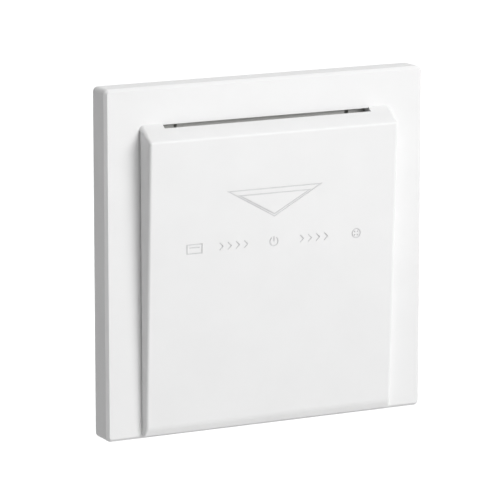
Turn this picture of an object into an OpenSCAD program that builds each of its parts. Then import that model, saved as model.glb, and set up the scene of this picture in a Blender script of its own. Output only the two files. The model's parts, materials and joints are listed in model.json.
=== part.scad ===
// Wall switch worked by a key card. The front plate carries a pocket for the card, and a sprung
// flap behind it leans into the pocket and works a change-over switch in the rear housing.
// The front faces -Y, the wall is the plane Y = 0, and the origin is the plate's centre on the wall.

/* [Front plate] */
// Width and height of the square plate
plate_w = 86; // [84:0.5:92]
// Depth of the plate, from the wall to its face
plate_t = 6.8; // [6.6:0.1:9]
// Thickness of the plate's face
plate_wall = 2; // [1.6:0.1:2.2]
// Thickness of the plate's rim
rim_wall = 1.8; // [1.4:0.1:2.4]
// Radius of the plate's corners
plate_corner_r = 1.3; // [1.2:0.1:4]
// Chamfer round the plate's front edge
plate_chamfer = 0.8; // [0.4:0.1:1.1]
// Radius of the four pegs that hold the plate on the frame
peg_r = 2; // [1.5:0.1:2.5]
// Distance of the pegs from the plate's edges
peg_inset = 7.5; // [6.5:0.1:9]

/* [Pocket cover] */
// Width of the cover across its front
cover_w = 67; // [65.5:0.5:70]
// Distance from the plate's top edge down to the cover
cover_top_gap = 9.1; // [8:0.1:12]
// Height of the cover's sloping top
cover_slope_h = 3.6; // [2.8:0.1:4.5]
// How far the cover stands out at its top
cover_top_depth = 5; // [5:0.1:7]
// How far the cover's flat front would stand out if it ran straight down to the foot
cover_foot_depth = 1.9; // [1.9:0.1:3]
// Draft of the cover's side walls in degrees
cover_draft = 6.4; // [2:0.1:9]
// Wall of the cover
cover_wall = 1.5; // [1.2:0.1:1.6]
// Radius of the cover's front edges
cover_edge_r = 0.8; // [0.4:0.1:1]
// Radius of the cover's upper corners on the plate
cover_corner_r = 1.3; // [0.6:0.1:2]
// Radius of the cover's rounded foot
cover_foot_r = 10; // [6:0.5:12]
// Turn of the rounded foot in degrees
cover_foot_turn = 20; // [10:1:24]
// Height of the solid foot below the card's stop
stop_h = 4; // [3:0.1:8]
// Thickness of the ribs that guide the card
rib_t = 1.6; // [1:0.1:2]
// Width of a snap leg
leg_w = 5; // [4:0.1:7]
// Thickness of a snap leg
leg_t = 1.6; // [1.2:0.1:1.8]
// Catch of a snap leg's hook behind the plate
leg_hook = 1; // [0.6:0.1:1.2]
// Height of the upper pair of legs above the plate's centre
leg_up = 20; // [10:0.5:24]
// Distance of the lower pair of legs below the plate's centre
leg_down = 25; // [12:0.5:30]

/* [Arrow on the cover] */
// Width of the engraved arrow
arrow_w = 26; // [15:0.1:40]
// Height of the engraved arrow
arrow_h = 7.3; // [4:0.1:12]
// Height of the arrow's top line above the plate's centre
arrow_z = 16.9; // [12:0.1:20]
// Width of the engraved line
arrow_line = 0.3; // [0.2:0.05:0.6]
// Depth of the engraved line
arrow_depth = 0.2; // [0.1:0.05:0.4]
// Width of the inner arrow
arrow_inner_w = 19.6; // [8:0.1:20]
// Height of the inner arrow
arrow_inner_h = 5.4; // [2.5:0.1:5.6]
// Distance of the inner arrow's top line below the outer one
arrow_inner_drop = 1.2; // [0.7:0.05:1.3]

/* [Card slot] */
// Width of the card
card_w = 54; // [53:0.1:55]
// Room for the card at each end of the slot
slot_side = 0.9; // [0.7:0.1:2]
// Width of the slot, front to back
slot_w = 1.35; // [1.1:0.05:1.8]
// Strip of plate between the cover's top crease and the slot
slot_lip = 0.3; // [0.1:0.05:0.6]
// Height of the slot's pocket in the plate
slot_pocket_h = 4.1; // [3.5:0.1:5]
// Room for the card at each side of the sunk track
track_side = 0.6; // [0.3:0.1:1]
// Depth of the sunk track that the card runs in
track_depth = 0.6; // [0.3:0.1:0.8]

/* [Support frame] */
// Thickness of the frame
frame_t = 2.2; // [2:0.1:2.4]
// Gap between the frame and the plate's rim
frame_gap = 1.2; // [0.6:0.1:1.6]
// Corner radius of the frame
frame_corner_r = 2; // [1:0.1:4]
// Distance between the wall fixing holes
fixing_spacing = 60.3; // [60:0.1:61]
// Width of a fixing slot
fixing_slot_w = 4; // [3.6:0.1:4.4]
// Length of a fixing slot
fixing_slot_l = 6; // [5:0.1:6.4]

/* [Card flap] */
// Width of the flap at its hinge
flap_w = 45.5; // [42:0.5:46]
// Thickness of the flap
flap_t = 1.6; // [1.2:0.1:1.8]
// Gap between the flap and the lugs at its ends
flap_gap = 0.9; // [0.4:0.1:1]
// Distance of the hinge axis below the slot
hinge_drop = 2.1; // [1.9:0.1:2.5]
// Radius of the hinge barrel
barrel_r = 1.8; // [1.6:0.1:2]
// Radius of the hinge pin
pin_r = 1; // [0.8:0.05:1.1]
// Width of the tongue that the card pushes
tongue_w = 22; // [20:0.5:24]
// Thickness of the tongue
tongue_t = 1.8; // [1.4:0.1:2]
// Distance of the nose below the hinge axis
nose_drop = 25.5; // [24:0.5:28]
// How far the nose stands out in front of the plate's face
nose_out = 2.2; // [1.6:0.1:2.3]
// Swing of the flap in degrees
flap_swing = 4.7; // [4:0.1:4.8]

/* [Flap springs] */
// Distance of each spring from the middle
spring_x = 8.5; // [8:0.1:9]
// Distance of the springs below the hinge axis
spring_drop = 21.5; // [20.5:0.1:22]
// Radius of the coil at the middle of its wire
coil_r = 2.1; // [1.8:0.05:2.2]
// Diameter of the spring wire
wire_d = 0.5; // [0.3:0.05:0.5]
// Turns of a spring
coil_turns = 4; // [3:1:4]

/* [Housing] */
// Gap between the plate's face and the housing's cover
lid_gap = 0.6; // [0.4:0.05:0.8]
// Thickness of the housing's cover
lid_t = 1.6; // [1.4:0.1:1.8]
// Thickness of the lugs that hold the hinge pin
lug_t = 2.8; // [2:0.1:3]
// Width of the rear housing
base_w = 49; // [47:0.5:50]
// Reach of the rear housing below the plate's centre
base_below = 26; // [25:0.5:32]
// Depth of the rear housing behind the wall
base_depth = 24; // [23.5:0.5:30]
// Wall of the rear housing
base_wall = 1.6; // [1.4:0.1:1.8]
// Corner radius of the housing and its cover
base_corner_r = 2; // [1:0.1:3]
// Reach of the side lugs that hold the housing in the frame
side_lug = 2; // [1.4:0.1:2]
// Thickness of the side lugs
side_lug_t = 1.1; // [0.8:0.1:1.2]
// Radius of the housing screws
screw_r = 1.05; // [0.9:0.05:1.2]
// Radius of the housing screws' heads
screw_head_r = 2; // [1.8:0.1:2.2]

/* [Switch] */
// Width of the switch case
sw_w = 10.3; // [9.8:0.1:10.6]
// Height of the switch case
sw_h = 27.8; // [27:0.1:28.5]
// Depth of the switch case
sw_d = 15.9; // [15.5:0.1:16.4]
// Wall of the switch case
sw_wall = 1.2; // [1:0.1:1.4]
// Distance of the plunger below the hinge axis
plunger_drop = 15; // [14.5:0.1:15.5]
// Radius of the plunger
plunger_r = 1.2; // [0.9:0.05:1.3]
// How far the plunger stands out of its case
plunger_out = 2.2; // [2:0.1:2.4]
// Thickness of the contact blade
blade_t = 0.4; // [0.3:0.05:0.5]
// Width of the contact blade
blade_w = 4; // [3:0.1:5]
// Radius of the contacts
contact_r = 1.2; // [1:0.05:1.3]
// Height of a contact's head
contact_h = 0.8; // [0.6:0.05:0.9]
// Radius of the switch screws
sw_screw_r = 1.4; // [1.2:0.05:1.5]

/* [Terminals] */
// Width of a tab
tab_w = 6.3; // [5.6:0.1:6.4]
// Thickness of tabs and links
strip_t = 0.8; // [0.6:0.05:0.9]
// Width of a link
link_w = 3; // [2.4:0.1:3.4]
// Distance between terminals
terminal_pitch = 13; // [12.5:0.1:13.3]
// Width of a terminal block
block_w = 8; // [7.4:0.1:8.4]
// Depth of a terminal block
block_d = 8; // [7.6:0.1:8.4]
// Height of a terminal block
block_h = 9; // [8.6:0.1:9.6]
// Radius of a wire hole
wire_hole_r = 2.25; // [2:0.05:2.4]
// Depth of a wire hole
wire_hole_l = 6.5; // [6:0.1:6.8]
// Radius of a clamping screw
clamp_r = 1.45; // [1.25:0.05:1.5]

/* [Clearances] */
// Clearance of seats and of pins in their holes
fit = 0.05; // [0.03:0.01:0.08]
// Clearance between housing pieces that are put together
run_gap = 0.3; // [0.2:0.05:0.35]
// Gap between pieces that meet when the flap moves
touch_gap = 0.25; // [0.2:0.05:0.3]

/* [Hidden] */
$fn = 48;
hull_fn = 24;
bite = 0.2;
slice = 0.01;
past = 1;

// Planes from front to back
y_face = -plate_t;
y_plate_in = y_face + plate_wall;
y_lid = y_plate_in + lid_gap;
y_lid_in = y_lid + lid_t;
y_frame = -frame_t;
y_base_in = base_depth - base_wall;

// Pocket cover: depth is measured forward from the plate's face
z_crease = plate_w / 2 - cover_top_gap;
z_front_top = z_crease - cover_slope_h;
z_foot = -plate_w / 2 + plate_chamfer;
z_stop = z_foot + stop_h;
front_rise = (cover_top_depth - cover_foot_depth) / (z_front_top - z_foot);
front_tilt = atan(front_rise);
side_rise = tan(cover_draft);
front_normal = [cos(front_tilt), -sin(front_tilt)];
slope_angle = atan2(cover_slope_h, cover_top_depth);
slope_normal = [sin(slope_angle), cos(slope_angle)];
inner_w = cover_w - 2 * cover_wall;
foot_steps = 5;
function cover_depth(z) = cover_foot_depth + front_rise * (z - z_foot);
function inner_depth(z) = cover_depth(z) - cover_wall / cos(front_tilt);
function side_x(d, z, r) = cover_w / 2 + side_rise * (cover_depth(z) - d) - r / cos(cover_draft);
function inset(p, n1, n2, r) = p - r * (n1 + n2) / (1 + n1 * n2);
leg_out_x = inner_w / 2 + bite;
leg_in_x = leg_out_x - leg_t;
leg_flex = 0.8;
leg_z = [leg_up, -leg_down];
guide_t = 1.2;
rim_inner_r = 0.4;

// Slot, track and windows in the plate
slot_l = card_w + 2 * slot_side;
track_hw = card_w / 2 + track_side;
z_slot = z_crease - slot_lip;
z_slot_pocket = z_slot - slot_pocket_h;
rib_inset = 3;
rib_x = track_hw - rib_inset;
tongue_gap = 1;
nose_room = 5;

// Hinge and flap
flap_set = 0.2;
flap_up = 1.7;
flap_down = 5.4;
flap_end_gap = 0.7;
tongue_drop = 4.5;
z_hinge = z_slot - hinge_drop;
y_flap = y_lid + flap_set;
y_hinge = y_flap + barrel_r;
z_tongue = z_hinge - tongue_drop;
z_nose = z_hinge - nose_drop;
y_tongue = y_flap + tongue_t / 2;
y_nose = y_face - nose_out + tongue_t / 2;
tongue_rise = (y_tongue - y_nose) / (z_tongue - z_nose);
tongue_angle = atan(tongue_rise);
function tongue_back(z) = y_tongue - tongue_rise * (z_tongue - z) + tongue_t / 2 / cos(tongue_angle);
lug_in_x = flap_w / 2 + flap_gap;
lug_out_x = lug_in_x + lug_t;
lug_h = 2.6;
lug_wall = 1;
lug_back = y_hinge + pin_r + lug_wall;
pin_mouth = 0.85 * pin_r;
pin_l = 2 * (lug_out_x - 2 * fit);

// Springs between the flap and the ledges of the housing's cover
z_spring = z_hinge - spring_drop;
spring_rim = 0.2;
spring_lift = 0.4;
spring_boss_r = coil_r + wire_d / 2 + spring_rim;
spigot_r = coil_r - wire_d / 2 - touch_gap;
spigot_h = 1;
y_spring = tongue_back(z_spring + spring_boss_r + spring_lift) + spring_lift;
ledge_drop = 2.2;
ledge_t = 1.5;
ledge_rim = 1;
y_ledge = y_lid_in + ledge_drop;
ledge_hz = spring_boss_r + ledge_rim;

// Housing
base_drop = 6.5;
z_base_top = z_hinge - base_drop;
z_base_low = -base_below;
frame_w = plate_w - 2 * (rim_wall + frame_gap);
peg_at = plate_w / 2 - peg_inset;
lid_side = 1.95;
lid_top_bar = 2.9;
lid_foot = 4;
lid_hw = max(lug_out_x, base_w / 2 + side_lug) + lid_side;
z_lid_top = z_hinge + lug_h + lid_top_bar;
z_lid_low = z_base_low - lid_foot;
fixing_head_r = 4.2;
side_lug_z = [14, -14];
side_lug_h = 8;
boss_wall = 1.55;
boss_inset = 4;
boss_r = screw_r + boss_wall;
boss_x = base_w / 2 - boss_inset;
boss_z = [z_base_top - boss_inset, z_base_low + boss_inset];
screw_l = 12;
screw_head_h = 1;
drive_w = 0.6;
rim_notch = 1.6;

// Switch
sw_hw = sw_w / 2;
z_sw_top = z_base_top - base_wall - run_gap;
z_sw_low = z_sw_top - sw_h;
sw_set = 2.3;
y_sw = y_lid_in + sw_set;
y_sw_back = y_sw + sw_d;
sw_lid_x = sw_hw - sw_wall;
z_plunger = z_hinge - plunger_drop;
y_tip = y_sw - plunger_out;
y_pad = y_tip - touch_gap;
pad_r = 2;
tip_r = 0.5;
plunger_travel = plunger_drop * tan(flap_swing);
blade_set = 7.3;
pivot_up = 4;
y_blade = y_sw + blade_set;
y_pivot = y_blade + blade_t / 2;
z_pivot = z_sw_low + pivot_up;
pivot_r = 0.4;
eye_r = 0.95;
blade_swing = asin(plunger_travel / (z_plunger - z_pivot));
z_contact = z_plunger + plunger_r + bite + contact_r;
contact_travel = (z_contact - z_pivot) * tan(blade_swing);
contact_gap = 0.1;
rivet_r = 0.7;
z_blade_top = z_contact + contact_r + bite;
y_closed = y_blade - contact_h - contact_gap;
y_closed_strip = y_closed - contact_h - strip_t;
y_open = y_blade + blade_t + contact_h + contact_travel + contact_gap + contact_r * sin(blade_swing);
y_open_strip = y_open + contact_h;
z_closed_tab = z_sw_top - sw_wall - 2 * fit - strip_t / 2;
open_tab_up = 11.2;
z_open_tab = z_pivot + open_tab_up;
z_common_tab = z_pivot;
strip_hw = tab_w / 2;
collar_r = 1.9;
collar_t = 0.8;
// Switch screws, each at [y, z]
sw_screw_inset = 2.8;
sw_screw_back = 3.8;
sw_screw_up = open_tab_up / 2;
sw_screws = [
    [y_sw + sw_screw_inset, z_sw_low + sw_screw_inset],
    [y_sw_back - sw_screw_back, z_pivot + sw_screw_up]
];
sw_boss_wall = 1;
sw_boss_r = sw_screw_r + sw_boss_wall;
sw_head_r = sw_screw_r + sw_boss_wall;
sw_head_h = 1.4;
sw_wall_t = 2.2;
sw_wall_x = -sw_hw - fit;

// Terminals
y_block = y_base_in - fit - block_d;
y_wire = y_block + block_d / 2;
z_block = z_base_low + base_wall + fit;
block_slot = 2;
z_link_end = z_block + block_h - block_slot + fit;
z_link_side = link_w / 2;
terminal_x = [-terminal_pitch, 0, terminal_pitch];
clamp_head_rim = 0.95;
clamp_head_r = clamp_r + clamp_head_rim;
clamp_head_h = 1.4;
clamp_up = 3.4;
z_clamp = z_block + clamp_up;
tab_past = 1.8;
y_tab_end = y_wire + tab_past;
link_rim = 1.2;
link_gap = 1.4;
link_pad_x = strip_hw + link_rim;
link_pad_z = 2;
bay_wall = 1;
bay_gap = 0.1;
open_link_x = link_pad_x + link_gap;
z_open_turn = z_block + block_h + link_w;

// A box from its lowest and highest corner
module block(low, high) {
    translate(low) cube(high - low);
}

// A cylinder along X
module bar_x(x0, x1, y, z, r) {
    translate([x0, y, z]) rotate([0, 90, 0]) cylinder(r = r, h = x1 - x0);
}

// A cylinder along Y
module bar_y(y0, y1, x, z, r) {
    translate([x, y0, z]) rotate([-90, 0, 0]) cylinder(r = r, h = y1 - y0);
}

// A cone along Y, from radius r0 to radius r1
module cone_y(y0, y1, x, z, r0, r1) {
    translate([x, y0, z]) rotate([-90, 0, 0]) cylinder(r1 = r0, r2 = r1, h = y1 - y0);
}

// An outline drawn in X and Z, from y0 back to y1
module sheet_y(y0, y1) {
    translate([0, y1, 0]) rotate([90, 0, 0]) linear_extrude(y1 - y0) children();
}

// An outline drawn in Y and Z, from x0 to x1
module sheet_x(x0, x1) {
    translate([x0, 0, 0]) rotate([90, 0, 90]) linear_extrude(x1 - x0) children();
}

// The same shape on both sides of the middle
module both_sides() {
    children();
    mirror([1, 0, 0]) children();
}

// A rectangle with round corners, from its lowest and highest corner
module rounded_rect(low, high, r) {
    translate(low + [r, 0]) square(high - low - [2 * r, 0]);
    translate(low + [0, r]) square(high - low - [0, 2 * r]);
    for (x = [low[0] + r, high[0] - r], z = [low[1] + r, high[1] - r])
        translate([x, z]) circle(r);
}

// A square with round corners about the middle
module rounded_square(w, r) {
    rounded_rect([-w / 2, -w / 2], [w / 2, w / 2], r);
}

// Outline of the housing's cover
module lid_outline() {
    rounded_rect([-lid_hw, z_lid_low], [lid_hw, z_lid_top], base_corner_r);
}

// A straight strip with round ends between two points
module round_strip(p, q, r) {
    along = (q - p) / norm(q - p);
    across = r * [-along[1], along[0]];
    polygon([p + across, q + across, q - across, p - across]);
    for (end = [p, q])
        translate(end) circle(r);
}

// A triangle pointing down, with its top edge at height 0
function arrow_points(w, h) = [[-w / 2, 0], [w / 2, 0], [0, -h]];
function arrow_in_radius(w, h) = w * h / (w + 2 * norm([w / 2, h]));

// The outline of such a triangle, with a line of width t inside it
module arrow_outline(w, h, t) {
    r = arrow_in_radius(w, h);
    keep = 1 - t / r;
    centre = [0, -r];
    difference() {
        polygon(arrow_points(w, h));
        polygon([for (p = arrow_points(w, h)) centre + keep * (p - centre)]);
    }
}

// A countersunk screw along Y with its head's face at y
module sunk_screw(y, x, z, extra) {
    cone_y(y, y + screw_head_h, x, z, screw_head_r + extra, screw_r + extra);
    bar_y(y, y + screw_l, x, z, screw_r + extra);
}

// The opening that the housing has in the frame and in its cover's skirt
module housing_opening() {
    low = z_base_low - run_gap;
    translate([-base_w / 2 - run_gap, low])
        square([base_w + 2 * run_gap, z_base_top + run_gap - low]);
    hw = max(lug_out_x, base_w / 2) + run_gap;
    translate([-hw, z_hinge - lug_h - run_gap])
        square([2 * hw, 2 * (lug_h + run_gap)]);
    translate([-base_w / 2 - run_gap, z_base_top])
        square([base_w + 2 * run_gap, z_hinge - z_base_top]);
}

// Outer form of the pocket cover, in front of the plate's face
module cover_form() {
    corner = [cover_top_depth, z_front_top];
    top = inset(corner, front_normal, slope_normal, cover_edge_r);
    // Spheres along the foot's round, from the flat front down to the lower edge
    bend_r = cover_foot_r - cover_edge_r;
    foot_rise = cover_edge_r + bend_r * sin(front_tilt + cover_foot_turn);
    bend = [cover_foot_depth + foot_rise * front_rise - cover_foot_r / cos(front_tilt), z_foot + foot_rise];
    arc = [for (i = [0 : foot_steps])
        let (a = front_tilt + cover_foot_turn * i / foot_steps)
        bend + bend_r * [cos(a), -sin(a)]];
    base_x = side_x(0, z_crease, 0) - cover_corner_r;
    foot_x = side_x(0, z_foot, cover_edge_r);
    intersection() {
        hull() {
            both_sides() {
                translate([side_x(top[0], top[1], cover_edge_r), y_face - top[0], top[1]])
                    sphere(cover_edge_r, $fn = hull_fn);
                for (p = arc)
                    translate([side_x(p[0], p[1], cover_edge_r), y_face - p[0], p[1]])
                        sphere(cover_edge_r, $fn = hull_fn);
                translate([base_x, y_face, z_crease - cover_corner_r]) rotate([90, 0, 0])
                    cylinder(r = cover_corner_r, h = slice, $fn = hull_fn);
                translate([foot_x, y_face, z_foot + cover_edge_r]) rotate([90, 0, 0])
                    cylinder(r = cover_edge_r, h = slice, $fn = hull_fn);
            }
        }
        block([-plate_w / 2, y_face - 2 * cover_top_depth, -plate_w / 2],
              [plate_w / 2, y_face, plate_w / 2]);
    }
}

// Hollow inside the pocket cover
module cover_hollow() {
    corner = inset([cover_top_depth, z_front_top], front_normal, slope_normal, cover_wall);
    z_back = corner[1] + (corner[0] + past) * tan(slope_angle);
    sheet_x(-inner_w / 2, inner_w / 2)
        polygon([
            [y_face + past, z_back],
            [y_face - corner[0], corner[1]],
            [y_face - inner_depth(z_stop), z_stop],
            [y_face + past, z_stop]
        ]);
}

// A rib along the card's path, from x0 to x1 and from depth d up to the cover's front wall
module cover_rib(x0, x1, d, z0, z1) {
    sheet_x(x0, x1)
        polygon([
            [y_face - d, z0],
            [y_face - max(d, cover_depth(z0) - cover_wall / 2), z0],
            [y_face - cover_depth(z1) + cover_wall / 2, z1],
            [y_face - d, z1]
        ]);
}

// A leg that goes through the plate and hooks behind its face
module snap_leg(z) {
    y_hook = y_plate_in + fit;
    block([leg_in_x, y_face - cover_depth(z - leg_w) + cover_wall / 2, z - leg_w / 2],
          [leg_out_x, y_hook + leg_hook, z + leg_w / 2]);
    block([leg_out_x - bite, y_hook, z - leg_w / 2],
          [leg_out_x + leg_hook, y_hook + leg_hook, z + leg_w / 2]);
}

module front_plate() {
    face_w = plate_w - 2 * plate_chamfer;
    face_corner_r = max(plate_corner_r - plate_chamfer, rim_inner_r);
    color("white") {
        difference() {
            hull() {
                sheet_y(y_face + plate_chamfer, 0) rounded_square(plate_w, plate_corner_r, $fn = hull_fn);
                sheet_y(y_face, y_face + slice) rounded_square(face_w, face_corner_r, $fn = hull_fn);
            }
            sheet_y(y_plate_in, past)
                rounded_square(plate_w - 2 * rim_wall, max(plate_corner_r - rim_wall, rim_inner_r));
            // Pocket behind the slot, with a ramp that leads the card on to the track
            sheet_x(-slot_l / 2, slot_l / 2)
                polygon([
                    [y_face - past, z_slot],
                    [y_plate_in + past, z_slot],
                    [y_plate_in + past, z_slot_pocket + plate_wall],
                    [y_plate_in, z_slot_pocket + plate_wall],
                    [y_face + track_depth, z_slot_pocket],
                    [y_face - past, z_slot_pocket]
                ]);
            block([-track_hw, y_face - past, z_stop], [track_hw, y_face + track_depth, z_slot]);
            // Window for the flap's tongue
            block([-tongue_w / 2 - tongue_gap, y_face - past, z_nose - nose_room],
                  [tongue_w / 2 + tongue_gap, y_plate_in + past, z_slot]);
            both_sides() {
                for (z = leg_z)
                    block([leg_in_x - leg_flex, y_face - past, z - leg_w / 2 - run_gap],
                          [leg_out_x + bite, y_plate_in + past, z + leg_w / 2 + run_gap]);
            }
        }
        for (x = [-1, 1], z = [-1, 1])
            bar_y(y_plate_in - bite, -run_gap, x * peg_at, z * peg_at, peg_r);
    }
}

module pocket_cover() {
    z_rib_low = z_foot + (slot_w + cover_wall - cover_foot_depth) / front_rise + past;
    z_rib_top = z_front_top - cover_wall / 2;
    color("whitesmoke") {
        difference() {
            cover_form();
            cover_hollow();
            block([-slot_l / 2, y_face - slot_w, z_slot_pocket],
                  [slot_l / 2, y_face + past, z_crease + past]);
            translate([0, y_face - cover_depth(arrow_z), arrow_z]) rotate([90 + front_tilt, 0, 0])
                translate([0, 0, -arrow_depth]) linear_extrude(arrow_depth + past) {
                    arrow_outline(arrow_w, arrow_h, arrow_line);
                    translate([0, -arrow_inner_drop])
                        arrow_outline(arrow_inner_w, arrow_inner_h, arrow_line);
                }
        }
        both_sides() {
            cover_rib(rib_x - rib_t / 2, rib_x + rib_t / 2, slot_w, max(z_rib_low, z_stop), z_rib_top);
            cover_rib(track_hw + fit, track_hw + fit + guide_t, 0, z_stop - bite, z_slot_pocket - past);
            for (z = leg_z)
                snap_leg(z);
        }
    }
}

module support_frame() {
    slot_r = fixing_slot_w / 2;
    slot_reach = (fixing_slot_l - fixing_slot_w) / 2;
    rebate_x = base_w / 2 + side_lug + run_gap;
    color("gainsboro") difference() {
        sheet_y(y_frame, 0) difference() {
            rounded_square(frame_w, frame_corner_r);
            housing_opening();
            for (side = [-1, 1]) {
                middle = [side * fixing_spacing / 2, 0];
                round_strip(middle - [slot_reach, 0], middle + [slot_reach, 0], slot_r);
            }
            for (x = [-1, 1], z = [-1, 1])
                translate([x * peg_at, z * peg_at]) circle(peg_r + fit);
        }
        // Rebates for the housing's side lugs
        for (z = side_lug_z)
            block([-rebate_x, -side_lug_t - fit, z - side_lug_h / 2 - run_gap],
                  [rebate_x, past, z + side_lug_h / 2 + run_gap]);
    }
}

module mechanism_cover() {
    z_window = z_hinge - flap_down - flap_end_gap;
    color("gainsboro") difference() {
        union() {
            sheet_y(y_lid, y_lid_in) lid_outline();
            sheet_y(y_lid_in - bite, y_frame) difference() {
                lid_outline();
                housing_opening();
            }
            both_sides() {
                block([lug_in_x, y_lid_in - bite, z_hinge - lug_h], [lug_out_x, lug_back, z_hinge + lug_h]);
                // Ledge for a flap spring, hung from the cover
                block([tongue_w / 2 + tongue_gap, y_lid_in - bite, z_spring - ledge_hz],
                      [tongue_w / 2 + tongue_gap + ledge_t, y_ledge + ledge_t, z_spring + ledge_hz]);
                block([sw_hw + 1.5 * run_gap, y_ledge, z_spring - ledge_hz],
                      [tongue_w / 2 + tongue_gap + ledge_t, y_ledge + ledge_t, z_spring + ledge_hz]);
                bar_y(y_ledge - spigot_h, y_ledge + bite, spring_x, z_spring, spigot_r);
            }
        }
        // Windows for the flap and its tongue
        block([-lug_in_x, y_lid - past, z_window],
              [lug_in_x, y_lid_in + bite, z_hinge + flap_up + flap_end_gap]);
        block([-tongue_w / 2 - tongue_gap, y_lid - past, z_nose - nose_room],
              [tongue_w / 2 + tongue_gap, y_lid_in, z_hinge]);
        both_sides() {
            // Seat of the hinge pin, open behind so that the pin snaps in
            bar_x(lug_in_x - past, lug_out_x + past, y_hinge, z_hinge, pin_r + fit);
            block([lug_in_x - past, y_hinge, z_hinge - pin_mouth],
                  [lug_out_x + run_gap / 2, lug_back + past, z_hinge + pin_mouth]);
            // Room for the head of a wall fixing screw
            bar_y(y_lid - past, y_frame + past, fixing_spacing / 2, 0, fixing_head_r);
            for (z = boss_z)
                sunk_screw(y_lid, boss_x, z, fit);
        }
    }
}

module mechanism_base() {
    hw = base_w / 2;
    low = z_base_low;
    high = z_base_top;
    z_link_clear = z_common_tab + link_pad_z + run_gap;
    color("slategray") difference() {
        union() {
            difference() {
                sheet_y(y_lid_in, base_depth) rounded_rect([-hw, low], [hw, high], base_corner_r);
                sheet_y(y_lid_in - past, y_base_in)
                    rounded_rect([-hw + base_wall, low + base_wall], [hw - base_wall, high - base_wall],
                                 max(base_corner_r - base_wall, rim_inner_r));
            }
            // Corner posts for the housing screws
            for (side = [-1, 1], z = boss_z)
                block([side * boss_x - boss_r, y_lid_in, z - boss_r],
                      [side * boss_x + boss_r, y_base_in + bite, z + boss_r]);
            for (side = [-1, 1], z = side_lug_z)
                block([side > 0 ? hw - bite : -hw - side_lug, -side_lug_t, z - side_lug_h / 2],
                      [side > 0 ? hw + side_lug : bite - hw, 0, z + side_lug_h / 2]);
            // Wall that carries the switch
            difference() {
                block([sw_wall_x - sw_wall_t, y_sw + past, z_sw_low],
                      [sw_wall_x, y_base_in + bite, high - base_wall + bite]);
                block([sw_wall_x - 2 * sw_wall_t, y_sw_back + run_gap, z_sw_low - past],
                      [sw_wall_x + past, y_base_in, z_link_clear]);
                // Room for the ledge of a flap spring
                block([sw_wall_x - 2 * sw_wall_t, y_sw, z_spring - ledge_hz - run_gap],
                      [sw_wall_x + past, y_ledge + ledge_t + run_gap, z_spring + ledge_hz + run_gap]);
            }
            // Bay for the terminal blocks
            block([-boss_x, y_block - bay_wall - bay_gap, low + base_wall - bite],
                  [boss_x, y_base_in + bite, z_block + block_h - bay_wall]);
        }
        for (x = terminal_x) {
            block([x - block_w / 2 - bay_gap, y_block - bay_gap, low + base_wall],
                  [x + block_w / 2 + bay_gap, y_base_in, z_block + block_h]);
            translate([x, y_wire, low - past])
                cylinder(r = wire_hole_r + run_gap, h = base_wall + 2 * past);
            bar_y(y_base_in - past, base_depth + past, x, z_clamp, clamp_head_r + run_gap);
        }
        for (side = [-1, 1], z = boss_z)
            bar_y(y_lid_in - past, y_lid + screw_l + past, side * boss_x, z, screw_r + fit);
        for (at = sw_screws)
            bar_x(sw_wall_x - sw_wall_t - past, sw_wall_x + past, at[0], at[1], sw_screw_r + fit);
        // Notch that the tongue swings into
        block([-tongue_w / 2 - tongue_gap, y_lid_in - past, high - base_wall - past],
              [tongue_w / 2 + tongue_gap, y_lid_in + rim_notch, high + past]);
    }
}

module housing_screws() {
    color("silver") for (side = [-1, 1], z = boss_z)
        difference() {
            sunk_screw(y_lid, side * boss_x, z, 0);
            for (turn = [0, 90])
                translate([side * boss_x, y_lid, z]) rotate([0, turn, 0])
                    cube([screw_head_r, screw_head_h, drive_w], center = true);
        }
}

module card_flap() {
    pad_from = tongue_back(z_plunger) - tongue_t / 2;
    boss_from = tongue_back(z_spring) - tongue_t / 2;
    color("ivory") difference() {
        union() {
            block([-flap_w / 2, y_flap, z_hinge - flap_down],
                  [flap_w / 2, y_flap + flap_t, z_hinge + flap_up]);
            bar_x(-flap_w / 2, flap_w / 2, y_hinge, z_hinge, barrel_r);
            sheet_x(-tongue_w / 2, tongue_w / 2)
                round_strip([y_tongue, z_tongue], [y_nose, z_nose], tongue_t / 2);
            block([-pad_r, pad_from, z_plunger - pad_r], [pad_r, y_pad, z_plunger + pad_r]);
            for (side = [-1, 1]) {
                bar_y(boss_from, y_spring, side * spring_x, z_spring, spring_boss_r);
                bar_y(boss_from, y_spring + spigot_h, side * spring_x, z_spring, spigot_r);
            }
        }
        bar_x(-flap_w / 2 - past, flap_w / 2 + past, y_hinge, z_hinge, pin_r + fit);
    }
}

module flap_pin() {
    color("silver") bar_x(-pin_l / 2, pin_l / 2, y_hinge, z_hinge, pin_r);
}

// Return springs of the flap
coil_sides = 6;
coil_rings = 12;
coil_from = y_spring + wire_d / 2;
coil_to = y_ledge - wire_d / 2;
coil_pitch = (coil_to - coil_from) / coil_turns;
coil_count = coil_rings * coil_turns;
function coil_point(i) =
    let (a = 360 * i / coil_rings)
    [coil_r * cos(a), coil_from + coil_pitch * i / coil_rings, coil_r * sin(a)];
function coil_out(i) = let (a = 360 * i / coil_rings) [cos(a), 0, sin(a)];
function coil_along(i) = let (a = 360 * i / coil_rings) [-sin(a), 0, cos(a)];
// Centres of the rings, with a straight end of one wire diameter before and after the turns
coil_path = concat(
    [coil_point(0) - wire_d * coil_along(0)],
    [for (i = [0 : coil_count]) coil_point(i)],
    [coil_point(coil_count) + wire_d * coil_along(coil_count)]
);
coil_normals = concat([coil_out(0)], [for (i = [0 : coil_count]) coil_out(i)], [coil_out(coil_count)]);
coil_gaps = [for (i = [0 : coil_count], j = [i + coil_rings / 2 : coil_count])
    norm(coil_point(i) - coil_point(j)) - wire_d];
echo(least_gap_between_turns = min(coil_gaps));

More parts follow.
